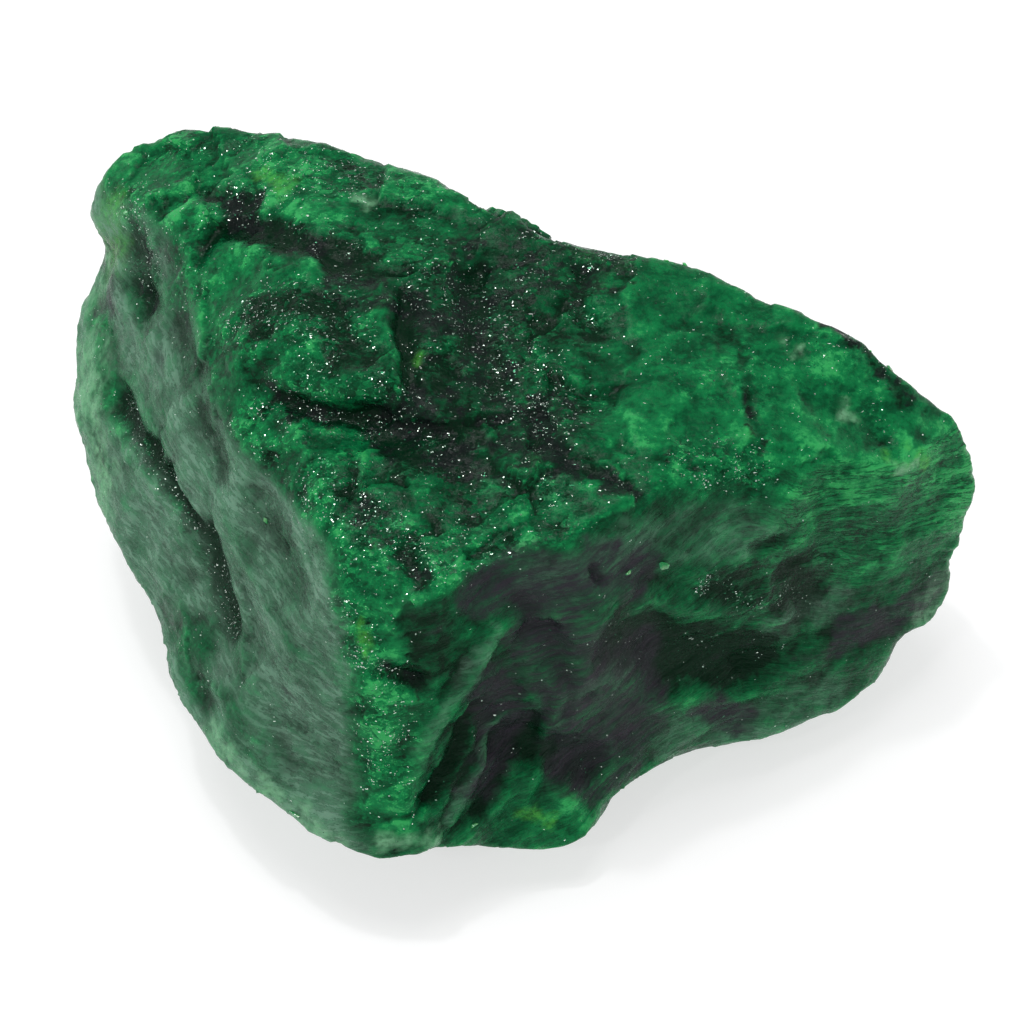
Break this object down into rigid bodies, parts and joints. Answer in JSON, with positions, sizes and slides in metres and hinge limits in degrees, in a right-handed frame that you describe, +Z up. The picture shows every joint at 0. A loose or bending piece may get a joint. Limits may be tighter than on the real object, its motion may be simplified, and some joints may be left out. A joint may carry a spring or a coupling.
{
  "type": "raw emerald lump",
  "caption": "Angular broken lump of massive green emerald with a flat rest face, a waxy left wall, a fluted front wall and a dark mica seam across its top.",
  "frame": {"origin": "middle of the footprint box, on the resting face", "axes": "+X along the stone's length, from its rounded knob to its blunt striated end; +Y away from its sharp front corner; +Z up"},
  "size_m": [0.05, 0.04, 0.026],
  "materials": {
    "beryl": "waxy broken surface, green with dark seams, sugar-grained glints and pale streaks"
  },
  "bodies": {
    "root": {"emerald_lump": "beryl"}
  },
  "joints": []
}
